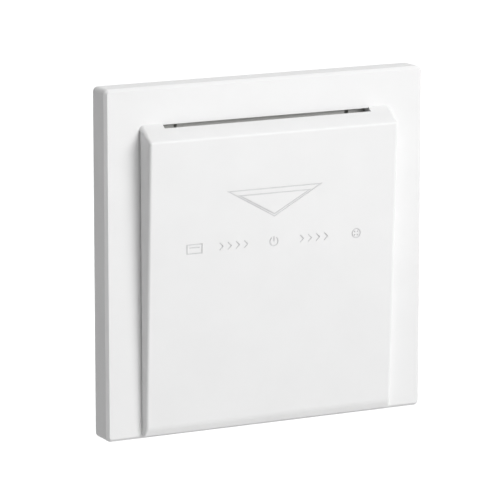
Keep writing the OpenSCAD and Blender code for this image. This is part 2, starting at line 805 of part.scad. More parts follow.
module coil() {
    last = len(coil_path) - 1;
    points = [for (i = [0 : last], s = [0 : coil_sides - 1])
        let (a = 360 * s / coil_sides)
        coil_path[i] + wire_d / 2 * (cos(a) * coil_normals[i] + sin(a) * [0, 1, 0])];
    function at(i, s) = i * coil_sides + s % coil_sides;
    sides = [for (i = [0 : last - 1], s = [0 : coil_sides - 1], half = [0, 1])
        half == 0 ? [at(i, s), at(i, s + 1), at(i + 1, s + 1)]
                  : [at(i, s), at(i + 1, s + 1), at(i + 1, s)]];
    ends = [for (s = [1 : coil_sides - 2], half = [0, 1])
        half == 0 ? [at(0, 0), at(0, s + 1), at(0, s)]
                  : [at(last, 0), at(last, s), at(last, s + 1)]];
    polyhedron(points, concat(sides, ends));
}

module flap_springs() {
    color("lightsteelblue") for (side = [-1, 1])
        translate([side * spring_x, 0, z_spring]) coil();
}

// Holes of the switch screws through the case
module switch_screw_holes() {
    for (at = sw_screws)
        bar_x(-sw_hw - past, sw_hw + past, at[0], at[1], sw_screw_r + fit);
}

// Seats of the blade's pin in the case walls
module blade_pin_seats() {
    seat = sw_lid_x + sw_wall / 2;
    bar_x(-seat, seat, y_pivot, z_pivot, pivot_r + fit);
}

module switch_case() {
    color("dimgray") difference() {
        union() {
            difference() {
                block([-sw_hw, y_sw, z_sw_low], [sw_lid_x, y_sw_back, z_sw_top]);
                block([-sw_lid_x, y_sw + sw_wall, z_sw_low + sw_wall],
                      [sw_lid_x + past, y_sw_back - sw_wall, z_sw_top - sw_wall]);
            }
            for (at = sw_screws)
                bar_x(-sw_hw + bite, sw_lid_x, at[0], at[1], sw_boss_r);
        }
        switch_screw_holes();
        blade_pin_seats();
        bar_y(y_sw - past, y_sw + sw_wall + bite, 0, z_plunger, plunger_r + fit);
        for (z = [z_common_tab, z_open_tab, z_closed_tab])
            block([-strip_hw - fit, y_sw_back - sw_wall - past, z - strip_t / 2 - fit],
                  [strip_hw + fit, y_sw_back + past, z + strip_t / 2 + fit]);
    }
}

module switch_case_lid() {
    color("dimgray") difference() {
        block([sw_lid_x, y_sw, z_sw_low], [sw_hw, y_sw_back, z_sw_top]);
        switch_screw_holes();
        blade_pin_seats();
    }
}

module switch_screws() {
    color("silver") for (at = sw_screws)
        difference() {
            union() {
                bar_x(sw_wall_x - sw_wall_t + bite, sw_hw + bite, at[0], at[1], sw_screw_r);
                bar_x(sw_hw, sw_hw + sw_head_h, at[0], at[1], sw_head_r);
            }
            translate([sw_hw + sw_head_h, at[0], at[1]])
                cube([sw_head_h, 3 * sw_head_r, drive_w], center = true);
        }
}

module switch_plunger() {
    y_collar = y_sw + sw_wall + 2 * fit;
    color("firebrick") {
        cone_y(y_tip, y_tip + plunger_r - tip_r, 0, z_plunger, tip_r, plunger_r);
        bar_y(y_tip + plunger_r - tip_r, y_blade - touch_gap, 0, z_plunger, plunger_r);
        bar_y(y_collar, y_collar + collar_t, 0, z_plunger, collar_r);
    }
}

module contact_blade() {
    color("peru") difference() {
        union() {
            block([-blade_w / 2, y_blade, z_pivot], [blade_w / 2, y_blade + blade_t, z_blade_top]);
            bar_x(-blade_w / 2, blade_w / 2, y_pivot, z_pivot, eye_r);
        }
        bar_x(-blade_w, blade_w, y_pivot, z_pivot, pivot_r + fit);
        bar_y(y_blade - past, y_blade + past, 0, z_contact, rivet_r + fit);
    }
}

module moving_contact() {
    color("lightgray") {
        bar_y(y_blade - contact_h, y_blade, 0, z_contact, contact_r);
        bar_y(y_blade - bite, y_blade + blade_t + bite, 0, z_contact, rivet_r);
        bar_y(y_blade + blade_t, y_blade + blade_t + contact_h, 0, z_contact, contact_r);
    }
}

module blade_pin() {
    reach = sw_lid_x + sw_wall / 2 - fit;
    color("silver") bar_x(-reach, reach, y_pivot, z_pivot, pivot_r);
}

// A tab of a strip, from y0 out through the back of the case
module tab(y0, z) {
    block([-strip_hw, y0, z - strip_t / 2], [strip_hw, y_tab_end, z + strip_t / 2]);
}

module common_strip() {
    color("goldenrod") tab(y_pivot + eye_r + 2 * fit, z_common_tab);
}

module open_strip() {
    color("goldenrod") {
        tab(y_open_strip, z_open_tab);
        block([-strip_hw, y_open_strip, z_open_tab - strip_t / 2],
              [strip_hw, y_open_strip + strip_t, z_contact + contact_r]);
    }
}

module open_contact() {
    color("lightgray") bar_y(y_open, y_open_strip, 0, z_contact, contact_r);
}

module closed_strip() {
    color("goldenrod") {
        tab(y_closed_strip, z_closed_tab);
        block([-strip_hw, y_closed_strip, z_contact - contact_r],
              [strip_hw, y_closed_strip + strip_t, z_closed_tab]);
    }
}

module closed_contact() {
    color("lightgray") bar_y(y_closed_strip + strip_t, y_closed, 0, z_contact, contact_r);
}

// A flat link: a pad slotted over the tab at height z, and a run of strips through the given boxes,
// each as [x0, z0, x1, z1]
module link(z, runs) {
    y0 = y_wire - strip_t / 2;
    pad = [link_pad_x, link_pad_z];
    color("darkgoldenrod") sheet_y(y0, y0 + strip_t) difference() {
        union() {
            translate([0, z] - pad) square(2 * pad);
            for (run = runs)
                translate([run[0], run[1]]) square([run[2] - run[0], run[3] - run[1]]);
        }
        slit = [strip_hw + fit, strip_t / 2 + fit];
        translate([0, z] - slit) square(2 * slit);
    }
}

module common_link() {
    x = terminal_x[0];
    z = z_common_tab;
    link(z, [
        [x - link_w / 2, z - z_link_side, -link_pad_x + bite, z + z_link_side],
        [x - link_w / 2, z_link_end, x + link_w / 2, z + z_link_side]
    ]);
}

module open_link() {
    z = z_open_tab;
    x = open_link_x;
    link(z, [
        [link_pad_x - bite, z - z_link_side, x + link_w, z + z_link_side],
        [x, z_open_turn, x + link_w, z + z_link_side],
        [-link_w / 2, z_open_turn, x + link_w, z_open_turn + link_w],
        [-link_w / 2, z_link_end, link_w / 2, z_open_turn + bite]
    ]);
}

module closed_link() {
    x = terminal_x[2];
    z = z_closed_tab - link_pad_z + z_link_side;
    link(z_closed_tab, [
        [link_pad_x - bite, z - z_link_side, x + link_w / 2, z + z_link_side],
        [x - link_w / 2, z_link_end, x + link_w / 2, z + z_link_side]
    ]);
}

// A terminal block at x, with its wire hole below, its clamping screw behind and a slot for its link
module terminal_block(x) {
    color("gold") difference() {
        block([x - block_w / 2, y_block, z_block], [x + block_w / 2, y_block + block_d, z_block + block_h]);
        translate([x, y_wire, z_block - past]) cylinder(r = wire_hole_r, h = wire_hole_l + past);
        bar_y(y_wire, y_block + block_d + past, x, z_clamp, clamp_r + fit);
        block([x - link_w / 2 - fit, y_wire - strip_t / 2 - fit, z_block + block_h - block_slot],
              [x + link_w / 2 + fit, y_wire + strip_t / 2 + fit, z_block + block_h + past]);
    }
}

module common_terminal() {
    terminal_block(terminal_x[0]);
}

module open_terminal() {
    terminal_block(terminal_x[1]);
}

module closed_terminal() {
    terminal_block(terminal_x[2]);
}

module terminal_screws() {
    y_head = y_block + block_d + 2 * fit;
    color("silver") for (x = terminal_x)
        difference() {
            union() {
                bar_y(y_wire + wire_hole_r, y_head + bite, x, z_clamp, clamp_r);
                bar_y(y_head, y_head + clamp_head_h, x, z_clamp, clamp_head_r);
            }
            translate([x, y_head + clamp_head_h, z_clamp])
                cube([3 * clamp_head_r, clamp_head_h, drive_w], center = true);
        }
}

front_plate();
pocket_cover();
support_frame();
mechanism_cover();
mechanism_base();
housing_screws();
card_flap();
flap_pin();
flap_springs();
switch_case();
switch_case_lid();
switch_screws();
switch_plunger();
contact_blade();
moving_contact();
blade_pin();
common_strip();
open_strip();
open_contact();
closed_strip();
closed_contact();
common_link();
open_link();
closed_link();
common_terminal();
open_terminal();
closed_terminal();
terminal_screws();
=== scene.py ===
"""Looks of a wall switch worked by a key card: moulded shells, finishes, studio light and camera."""
import json
import math

import bmesh
import bpy
from mathutils import Matrix, Vector

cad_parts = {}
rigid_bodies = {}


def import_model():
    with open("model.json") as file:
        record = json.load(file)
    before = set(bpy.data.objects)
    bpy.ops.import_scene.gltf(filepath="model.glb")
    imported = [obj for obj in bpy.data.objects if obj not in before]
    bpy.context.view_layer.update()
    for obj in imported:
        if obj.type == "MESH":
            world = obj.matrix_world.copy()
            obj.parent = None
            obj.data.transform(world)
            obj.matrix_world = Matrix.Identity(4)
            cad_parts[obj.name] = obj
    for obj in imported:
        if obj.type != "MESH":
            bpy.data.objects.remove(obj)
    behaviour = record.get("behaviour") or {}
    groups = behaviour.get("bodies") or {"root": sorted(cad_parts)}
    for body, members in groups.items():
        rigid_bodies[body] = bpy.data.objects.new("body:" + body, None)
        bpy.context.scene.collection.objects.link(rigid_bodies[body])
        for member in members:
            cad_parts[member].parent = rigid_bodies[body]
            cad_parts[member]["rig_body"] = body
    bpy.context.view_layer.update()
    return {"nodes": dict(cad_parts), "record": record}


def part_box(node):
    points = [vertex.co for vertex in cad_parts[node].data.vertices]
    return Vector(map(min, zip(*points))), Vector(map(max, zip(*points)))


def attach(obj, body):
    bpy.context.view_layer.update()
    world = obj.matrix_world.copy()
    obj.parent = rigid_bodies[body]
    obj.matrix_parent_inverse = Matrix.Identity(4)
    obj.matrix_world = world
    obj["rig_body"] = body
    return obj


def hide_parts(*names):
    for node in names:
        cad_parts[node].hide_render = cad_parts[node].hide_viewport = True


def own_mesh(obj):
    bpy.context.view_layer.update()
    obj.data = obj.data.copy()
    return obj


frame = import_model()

scene = bpy.context.scene
MM = 0.001


def node_box(node):
    """Low and high corner of a CAD node in millimetres."""
    return [Vector(corner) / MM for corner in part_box(node)]


# Meshes; lengths are in millimetres unless a heading says otherwise
# PAST is how far a cutter reaches past a face, and BITE how far a joined form sinks into one
# AXIS_R is the small radius at which a turned outline ends, close to its axis
PAST = 1.0
BITE = 0.2
SAME_POINT = 1e-4
ON_PLANE = 1e-5
DOUBLED_POINT = 0.002
AXIS_R = 0.01
SHARP_ANGLE = math.radians(40)
BEVEL_STEPS = 2

# Front plate
plate_low, plate_high = node_box("front_plate")
PLATE_HALF = plate_high.x
Y_FACE = plate_low.y
PLATE_SKIN = 2.0
Y_SKIN = Y_FACE + PLATE_SKIN
RIM_WALL = 1.8
CAVITY_CORNER_R = 0.6
PLATE_CORNER_R = 1.3
LEAST_CORNER_R = 0.3
CHAMFER = 0.72
PLATE_ROUNDS = (0.2, 0.1, 0.12)
PEG_R = 2.0
PEG_AT = 35.5
PEG_END = -0.3
PEG_TIP_R = 0.4
PEG_SIDES = 48
GUSSET_T = 0.9
GUSSET_H = 2.4
GUSSET_REACH = 4.6

# Pocket cover; depths are measured forward from the plate's face, and COVER_FLAT is in degrees
FRONT_HALF = 33.5
DRAFT = math.tan(math.radians(6.4))
Z_CREASE = 33.9
Z_FRONT_TOP = 30.3
Z_FOOT = -42.2
TOP_DEPTH = 4.99
FOOT_DEPTH = 1.9
EDGE_R = 0.8
CREASE_CORNER_R = 1.3
COVER_WALL = 1.5
MID_WALL = COVER_WALL / 2
INNER_HALF = FRONT_HALF - COVER_WALL
STOP_H = 4.0
Z_STOP = Z_FOOT + STOP_H
COVER_FLAT = 0.1

# Slant of the cover's front and of its top, and the directions square to them in depth and height
FRONT_RISE = (TOP_DEPTH - FOOT_DEPTH) / (Z_FRONT_TOP - Z_FOOT)
FRONT_TILT = math.atan(FRONT_RISE)
FRONT_OUT = Vector((math.cos(FRONT_TILT), -math.sin(FRONT_TILT)))
SLOPE = math.atan2(Z_CREASE - Z_FRONT_TOP, TOP_DEPTH)
SLOPE_OUT = Vector((math.sin(SLOPE), math.cos(SLOPE)))

# Turned band along the cover's foot
FOOT_R = 4.0
FOOT_TURN = math.radians(22)
FOOT_RISE = 2.6
FOOT_EDGE_R = 0.3
FOOT_STEPS = 8

# Round and fine gap along the base of the cover's sides, each at the top and at the foot
BASE_R = (0.8, 0.25)
BASE_GAP = (0.42, 0.17)
BASE_GAP_IN = 0.7
BASE_STEPS = 8

# Card slot, track, window, ribs and guides
SLOT_HALF = 27.9
SLOT_W = 1.35
SLOT_DROP = 0.3
SLOT_H = 4.1
Z_SLOT = Z_CREASE - SLOT_DROP
Z_SLOT_LOW = Z_SLOT - SLOT_H
TRACK_HALF = 27.6
TRACK_DEPTH = 0.6
WINDOW_HALF = 12.0
Z_WINDOW = 1.0
RIB_IN = 3.0
RIB_T = 1.6
RIB_ROOM = 1.0
RIB_X = TRACK_HALF - RIB_IN
RIB_LOW = Z_FOOT + (SLOT_W + COVER_WALL - FOOT_DEPTH) / FRONT_RISE + RIB_ROOM
GUIDE_T = 1.2
GUIDE_FIT = 0.05
GUIDE_ROOM = 1.0
GUIDE_X = TRACK_HALF + GUIDE_FIT
GUIDE_TOP = Z_SLOT_LOW - GUIDE_ROOM

# Snap legs of the cover and their holes in the plate
LEG_T = 1.6
LEG_HALF = 2.5
LEG_Z = (20.0, -25.0)
LEG_OUT = INNER_HALF + BITE
LEG_IN = LEG_OUT - LEG_T
LEG_ROOM = 0.3
LEG_FIT = 0.2
LEG_FLEX = 0.8
HOOK_REACH = 1.0
HOOK_FIT = 0.05
HOOK_SLANT = (0.2, 0.3)

# Marks on the cover, in millimetres across and up its front, with POWER_ARC in degrees
# An arrow line has a width, a height and a drop
MARK_LINE = 0.28
MARK_DEPTH = 0.15
LEAST_MITRE = 0.2
ARROW_Z = 16.9
ARROWS = ((26.0, 7.3, 0.0), (19.9, 5.5, 1.25))
SIGNS_Z = 3.45
SIGN_H = 2.5
CARD_SIGN_X = -21.4
CARD_SIGN_HALF = 2.0
STRIPE_IN = 0.6
STRIPE_UP = 0.35
POWER_ARC = (125, 415)
LAMP_SIGN_X = 22.6
LAMP_SIGN_SIDES = 40
RAY_START = 0.25
CHEVRON_STARTS = (-14.2, 7.6)
CHEVRON_COUNT = 4
CHEVRON_PITCH = 2.2
CHEVRON_HALF = (0.45, 0.9)

# Springs
spring_low, spring_high = node_box("flap_springs")
SPRING_AT = (8.5, 10.0)
COIL_R = 2.1
WIRE_R = 0.25
SPRING_TURNS = 6
TURN_STEPS = 24
WIRE_SIDES = 12

# Support frame
FRAME_EDGE = 0.25
FIXING_AT = 30.15
SEAT_REACH = 1.0
SEAT_R = 3.3
SEAT_DEPTH = 0.35
FRAME_PANEL_X = 31.0
FRAME_PANEL_Z = (8.0, 28.0)
FRAME_PANEL_RIM = 1.6
FRAME_PANEL_DEPTH = 0.7
UP_MARK = ((-1.6, -0.8), (1.6, -0.8), (0, 1.4))
UP_MARK_IN = 1.55

# Rear housing, with a numeral above each terminal
HOUSING_EDGE = 0.3
BACK_PANEL_HALF = 15.0
BACK_PANEL_Z = (-8.0, 13.0)
BACK_PANEL_DEPTH = 0.3
EJECTOR_X = 19.5
EJECTOR_Z = (19.5, -12.0)
EJECTOR_R = 1.6
EJECTOR_DEPTH = 0.2
NUMERAL_UP = 3.0
TERMINALS = ("common_terminal", "open_terminal", "closed_terminal")
NUMERALS = (
    ((-0.45, 0.75), (0.1, 1.2), (0.1, -1.2)),
    ((-0.65, 0.7), (-0.4, 1.1), (0.1, 1.2), (0.55, 0.95), (0.6, 0.45), (0.3, -0.1),
     (-0.7, -1.1), (0.75, -1.1)),
    ((-0.65, 1.1), (0.65, 1.1), (0.0, 0.3), (0.45, 0.15), (0.7, -0.35), (0.5, -0.9),
     (0.0, -1.15), (-0.7, -0.9)),
)

# Switch lid
LID_EDGE = 0.15
LID_PANEL_RIM = 1.5
LID_PANEL_LOW = 9.5
LID_PANEL_DEPTH = 0.2

# Screws; the tip and the reaches of the drive are shares of the shank's and the head's radius
HOUSING_SCREW = {
    "head_r": 2.0, "head_h": 1.0, "r": 1.05, "core": 0.78, "pitch": 0.9,
    "drive_w": 0.55, "drive_depth": 0.75, "arms": 2, "sunk": True,
}
SWITCH_SCREW = {
    "head_r": 2.4, "head_h": 1.4, "r": 1.4, "core": 1.15, "pitch": 0.7,
    "drive_w": 0.6, "drive_depth": 0.7, "arms": 1, "sunk": False,
}
TERMINAL_SCREW = {**SWITCH_SCREW, "r": 1.45, "core": 1.2}
SCREW_TIP = 0.4
SUNK_RIM = 0.12
SUNK_ROUNDS = (0.05, 0.05, 0.1, 0, 0)
HEAD_ROUNDS = (0.3, 0.1, 0.1, 0, 0)
CROSS_REACH = 0.62
SLOT_REACH = 1.5
THREAD_STEPS = 8
THREAD_SHARP = 1.4

# Pins, contacts and plunger; the round of a pin's ends is a share of its radius
PIN_ROUND = 0.3
DOME_H = 0.25
DOME_STEPS = 6
HEAD_T = 0.8
NECK_R = 0.7
PLUNGER_R = 1.2
PLUNGER_STEPS = 8
COLLAR_AT = 3.5
COLLAR_T = 0.8
PLUNGER_ROUNDS = (0.1, 0.15, 0.15, 0.1, 0.2)

# Pieces that are plain copies of a node: node, name of the piece, width of its rounded edges
COPIES = (
    ("mechanism_cover", "lid_moulding", 0.25),
    ("card_flap", "flap_moulding", 0.2),
    ("switch_case", "switch_case_moulding", 0.15),
    ("contact_blade", "blade_pressing", 0.06),
    ("common_strip", "common_strip_pressing", 0.1),
    ("open_strip", "open_strip_pressing", 0.1),
    ("closed_strip", "closed_strip_pressing", 0.1),
    ("common_link", "common_link_pressing", 0.1),
    ("open_link", "open_link_pressing", 0.1),
    ("closed_link", "closed_link_pressing", 0.1),
    ("common_terminal", "common_terminal_block", 0.2),
    ("open_terminal", "open_terminal_block", 0.2),
    ("closed_terminal", "closed_terminal_block", 0.2),
)

# Finishes; GRAIN and RELIEF are the size and the height of the fine grain in all of them
# A look has the two colours of its blotches and their size, and a stretch where its grain is drawn out
GRAIN = 0.25
RELIEF = 0.02
RELIEF_STRENGTH = 0.15
GLOSS_SPREAD = 0.04
BLOTCH_DETAIL = 4.0
GRAIN_DETAIL = 2.0
BLOTCH_STOPS = (0.35, 0.65)
GRAIN_RANGE = (0.3, 0.7)
LOOKS = {
    "white_plastic": dict(light=(0.88, 0.88, 0.88), dark=(0.865, 0.865, 0.865), roughness=0.48),
    "frame_plastic": dict(light=(0.62, 0.62, 0.60), dark=(0.59, 0.59, 0.57), roughness=0.5),
    "housing_plastic": dict(light=(0.060, 0.064, 0.070), dark=(0.048, 0.051, 0.056), roughness=0.5),
    "flap_plastic": dict(light=(0.70, 0.70, 0.68), dark=(0.67, 0.67, 0.65), roughness=0.45),
    "switch_plastic": dict(light=(0.022, 0.022, 0.024), dark=(0.016, 0.016, 0.018), roughness=0.42),
    "plunger_plastic": dict(light=(0.42, 0.035, 0.025), dark=(0.36, 0.028, 0.02), roughness=0.3),
    "plated_steel": dict(
        light=(0.66, 0.66, 0.64), dark=(0.50, 0.51, 0.52), roughness=0.32, blotch=1.2, metallic=1.0),
    "spring_steel": dict(
        light=(0.58, 0.58, 0.60), dark=(0.46, 0.46, 0.48), roughness=0.25, blotch=0.8, metallic=1.0),
    "blade_copper": dict(
        light=(0.70, 0.37, 0.21), dark=(0.66, 0.335, 0.185), roughness=0.3, blotch=0.8, metallic=1.0,
        stretch=(3, 3, 1)),
    "contact_silver": dict(
        light=(0.80, 0.79, 0.76), dark=(0.66, 0.65, 0.62), roughness=0.35, blotch=0.7, metallic=1.0),
    "strip_brass": dict(
        light=(0.73, 0.51, 0.20), dark=(0.69, 0.475, 0.18), roughness=0.3, blotch=0.8, metallic=1.0,
        stretch=(1, 1, 3)),
    "terminal_brass": dict(
        light=(0.70, 0.485, 0.19), dark=(0.655, 0.445, 0.17), roughness=0.28, blotch=0.5, metallic=1.0,
        stretch=(1, 3, 1)),
}
MARK_LOOK = dict(light=(0.72, 0.72, 0.725), dark=(0.68, 0.68, 0.685), roughness=0.55, blotch=1.5)

# Camera, fitted to the photograph's edges; its place is in metres
VIEW_AZIMUTH = math.radians(26.5933)
VIEW_PITCH = math.radians(11.5249)
VIEW_BACK = 0.89826
VIEW_ASIDE = -0.001004
VIEW_UP = 0.182501
VIEW_FOCAL_PX = 3738.5
VIEW_END = 50.0
IMAGE_PX = 500
SENSOR_MM = 36.0

# Light and floor; lengths are in metres and angles in degrees
# A sun has an azimuth to the right, a height, the tone of a white wall that faces it, and a softness
FLOOR_Z = -0.5
FLOOR_HALF = 8.0
FLOOR_TONE = 0.66
FLOOR_GLOW = 0.72
WORLD_LIGHT = 0.21
SUNS = ((34, 21, 0.56, 38), (180, 66, 0.31, 30))
LAMP_TURN = (14, 29)
LAMP_DISTANCE = 0.28
LAMP_SIZE = 0.16
LAMP_LIGHT = 0.25


def link(obj):
    """Puts a new object into the scene."""
    scene.collection.objects.link(obj)
    return obj


def mesh_object(name, bm):
    """A new object from a bmesh in millimetres."""
    bmesh.ops.recalc_face_normals(bm, faces=bm.faces)
    mesh = bpy.data.meshes.new(name)
    bm.to_mesh(mesh)
    bm.free()
    mesh.transform(Matrix.Scale(MM, 4))
    return link(bpy.data.objects.new(name, mesh))


def loft(loops):
    """A closed bmesh through loops with the same number of points."""
    bm = bmesh.new()
    rings = [[bm.verts.new(p) for p in loop] for loop in loops]
    for one, two in zip(rings, rings[1:]):
        for i in range(len(one)):
            j = (i + 1) % len(one)
            bm.faces.new((one[i], one[j], two[j], two[i]))
    bm.faces.new(rings[0])
    bm.faces.new(rings[-1])
    return bm


def arc(centre, r, start, end, steps=20):
    """Points of an arc, with angles in degrees."""
    angles = [math.radians(start + (end - start) * i / steps) for i in range(steps + 1)]
    return [(centre[0] + r * math.cos(a), centre[1] + r * math.sin(a)) for a in angles]


def fillet(points, radii, steps=4):
    """A polyline in 2D with its inner corners rounded; a radius of 0 keeps the corner."""
    out = [Vector(points[0])]
    for before, corner, after, r in zip(points, points[1:], points[2:], radii):
        corner = Vector(corner)
        if not r:
            out.append(corner)
            continue
        a = (Vector(before) - corner).normalized()
        b = (Vector(after) - corner).normalized()
        half = a.angle(b) / 2
        centre = corner + (a + b).normalized() * r / math.sin(half)
        start = corner + a * r / math.tan(half) - centre
        end = corner + b * r / math.tan(half) - centre
        turn = math.atan2(start.x * end.y - start.y * end.x, start.dot(end))
        for i in range(steps + 1):
            angle = turn * i / steps
            c, s = math.cos(angle), math.sin(angle)
            out.append(centre + Vector((start.x * c - start.y * s, start.x * s + start.y * c)))
    return out + [Vector(points[-1])]


def round_loop(half, r, y, steps=8):
    """Points of a rounded square of that half width in the plane at y."""
    points = []
    for sx, sz, turn in ((1, 1, 0), (-1, 1, 1), (-1, -1, 2), (1, -1, 3)):
        for i in range(steps + 1):
            a = (turn + i / steps) * math.pi / 2
            points.append((sx * (half - r) + r * math.cos(a), y, sz * (half - r) + r * math.sin(a)))
    return points


def box(name, low, high):
    """A block between two corners."""
    corners = [(low[0], low[2]), (high[0], low[2]), (high[0], high[2]), (low[0], high[2])]
    return mesh_object(name, loft([[(x, y, z) for x, z in corners] for y in (low[1], high[1])]))


def prism(name, outline, x0, x1):
    """An outline in Y and Z, from x0 to x1."""
    return mesh_object(name, loft([[(x, y, z) for y, z in outline] for x in (x0, x1)]))


# Direction along an axis, and the two directions across it
AXES = {
    "X": (Vector((1, 0, 0)), Vector((0, 1, 0)), Vector((0, 0, 1))),
    "Y": (Vector((0, 1, 0)), Vector((0, 0, 1)), Vector((1, 0, 0))),
}


def thread_rings(start, end, crest, core, pitch, sides):
    """Rings of a screw thread that fades in and out over one turn, each with its place and its radii."""
    rings = []
    count = round((end - start) / pitch * THREAD_STEPS)
    for k in range(1, count):
        s = start + (end - start) * k / count
        depth = (crest - core) * min(1, k / THREAD_STEPS, (count - k) / THREAD_STEPS)
        phase = [(s / pitch - i / sides) % 1 for i in range(sides)]
        rings.append((s, [crest - depth * max(0, 1 - THREAD_SHARP * abs(2 * p - 1)) for p in phase]))
    return rings


def turned(name, profile, at, axis="Y", thread=None, sides=36):
    """A turned solid from pairs of a radius and a distance along the axis.

    A thread is (start, end, crest, core, pitch), with two distances, two radii and a length.
    """
    along, across, up = AXES[axis]
    rings = [(s, [r] * sides) for r, s in profile]
    if thread:
        rings += thread_rings(*thread, sides)
        rings.sort(key=lambda ring: ring[0])
    turns = [2 * math.pi * i / sides for i in range(sides)]
    spokes = [across * math.cos(a) + up * math.sin(a) for a in turns]
    return mesh_object(name, loft(
        [[Vector(at) + along * s + r * spoke for r, spoke in zip(radii, spokes)] for s, radii in rings]))


def apply_modifiers(obj):
    """Makes the result of an object's modifiers its mesh."""
    graph = bpy.context.evaluated_depsgraph_get()
    mesh = bpy.data.meshes.new_from_object(obj.evaluated_get(graph))
    obj.modifiers.clear()
    old = obj.data
    obj.data = mesh
    bpy.data.meshes.remove(old)
    mesh.name = obj.name


def remove(obj):
    """Deletes an object with its mesh."""
    mesh = obj.data
    bpy.data.objects.remove(obj)
    bpy.data.meshes.remove(mesh)


def combine(target, others, operation):
    """Cuts the other objects out of the target, or joins them to it, and deletes them."""
    for other in others:
        if any(target.data.materials) and not any(other.data.materials):
            other.data.materials.append(target.data.materials[0])
        step = target.modifiers.new(operation.lower(), "BOOLEAN")
        step.object = other
        step.operation = operation
        step.solver = "EXACT"
        step.material_mode = "TRANSFER"
    apply_modifiers(target)
    for other in others:
        remove(other)
    return target


def merged(name, parts):
    """One object from several that don't touch."""
    bm = bmesh.new()
    for part in parts:
        bm.from_mesh(part.data)
        remove(part)
    mesh = bpy.data.meshes.new(name)
    bm.to_mesh(mesh)
    bm.free()
    return link(bpy.data.objects.new(name, mesh))


def clean(obj, flat=0.3):
    """Drops doubled points and merges faces that lie in one plane, within flat degrees."""
    bm = bmesh.new()
    bm.from_mesh(obj.data)
    bmesh.ops.remove_doubles(bm, verts=bm.verts, dist=DOUBLED_POINT * MM)
    bmesh.ops.dissolve_limit(bm, angle_limit=math.radians(flat), verts=bm.verts, edges=bm.edges,
                             delimit={"MATERIAL"})
    bm.to_mesh(obj.data)
    bm.free()


def soften(obj, width=0):
    """Rounds the sharp edges to that width, then sets the shading."""
    if width:
        bevel = obj.modifiers.new("bevel", "BEVEL")
        bevel.width = width * MM
        bevel.segments = BEVEL_STEPS
        bevel.limit_method = "ANGLE"
        bevel.angle_limit = SHARP_ANGLE
        bevel.miter_outer = "MITER_ARC"
    obj.data.shade_smooth()
    obj.data.set_sharp_from_angle(angle=SHARP_ANGLE)
    normals = obj.modifiers.new("normals", "WEIGHTED_NORMAL")
    normals.keep_sharp = True
    return obj


SLOT_OF = {part["node"]: part["material_slot"] for part in frame["record"]["subparts"]}


def stand_for(obj, node):
    """Puts a piece in the place of a node, on the node's body and with the node's finish."""
    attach(obj, frame["nodes"][node]["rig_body"])
    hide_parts(node)
    if not any(obj.data.materials):
        obj.data.materials.clear()
        obj.data.materials.append(finishes[SLOT_OF[node]])


def front_plate():
    """A square shell with a rim, cut for the card and the cover's legs, with pegs behind it."""
    profile = fillet(
        [(2 * RIM_WALL, 0), (0, 0), (0, Y_FACE + CHAMFER), (CHAMFER, Y_FACE), (4 * CHAMFER, Y_FACE)],
        PLATE_ROUNDS,
    )
    loops = [round_loop(PLATE_HALF - p.x, max(PLATE_CORNER_R - p.x, LEAST_CORNER_R), p.y) for p in profile]
    plate = mesh_object("plate_shell", loft(loops))
    inner = PLATE_HALF - RIM_WALL
    cuts = [
        mesh_object("cavity", loft([round_loop(inner, CAVITY_CORNER_R, y) for y in (Y_SKIN, PAST)])),
        prism("pocket", [
            (Y_FACE - PAST, Z_SLOT), (Y_SKIN + PAST, Z_SLOT),
            (Y_SKIN + PAST, Z_SLOT_LOW + PLATE_SKIN), (Y_SKIN, Z_SLOT_LOW + PLATE_SKIN),
            (Y_FACE + TRACK_DEPTH, Z_SLOT_LOW), (Y_FACE - PAST, Z_SLOT_LOW),
        ], -SLOT_HALF, SLOT_HALF),
        box("track", (-TRACK_HALF, Y_FACE - PAST, Z_STOP), (TRACK_HALF, Y_FACE + TRACK_DEPTH, Z_SLOT)),
        box("window", (-WINDOW_HALF, Y_FACE - PAST, Z_WINDOW), (WINDOW_HALF, Y_SKIN + PAST, Z_SLOT)),
    ]
    half = LEG_HALF + LEG_ROOM
    for side in (-1, 1):
        x0, x1 = sorted((side * (LEG_IN - LEG_FLEX), side * (LEG_OUT + LEG_FIT)))
        for z in LEG_Z:
            cuts.append(box("leg_hole", (x0, Y_FACE - PAST, z - half), (x1, Y_SKIN + PAST, z + half)))
    combine(plate, cuts, "DIFFERENCE")

    root = Y_SKIN - BITE
    peg = fillet([(AXIS_R, root), (PEG_R, root), (PEG_R, PEG_END), (AXIS_R, PEG_END)], [0, PEG_TIP_R])
    joins = []
    for sx in (-1, 1):
        for sz in (-1, 1):
            x, z = sx * PEG_AT, sz * PEG_AT
            joins.append(turned("peg", peg, (x, 0, z), sides=PEG_SIDES))
            for across, up in ((GUSSET_REACH, GUSSET_T / 2), (GUSSET_T / 2, GUSSET_REACH)):
                low, high = (x - across, root, z - up), (x + across, Y_SKIN + GUSSET_H, z + up)
                joins.append(box("gusset", low, high))
    combine(plate, joins, "UNION")
    clean(plate)
    stand_for(soften(plate), "front_plate")


def front_depth(z):
    """Depth of the cover's front at that height."""
    return FOOT_DEPTH + FRONT_RISE * (z - Z_FOOT)


def side_x(depth, z, r=0.0):
    """Half width of the cover at that depth and height, less a round of radius r."""
    return FRONT_HALF + DRAFT * (front_depth(z) - depth) - r / math.cos(math.atan(DRAFT))


def top_edge(r):
    """Depth and height of the centre of a round of radius r between the cover's front and its slope."""
    square = FRONT_OUT + SLOPE_OUT
    return Vector((TOP_DEPTH, Z_FRONT_TOP)) - r * square / (1 + FRONT_OUT.dot(SLOPE_OUT))


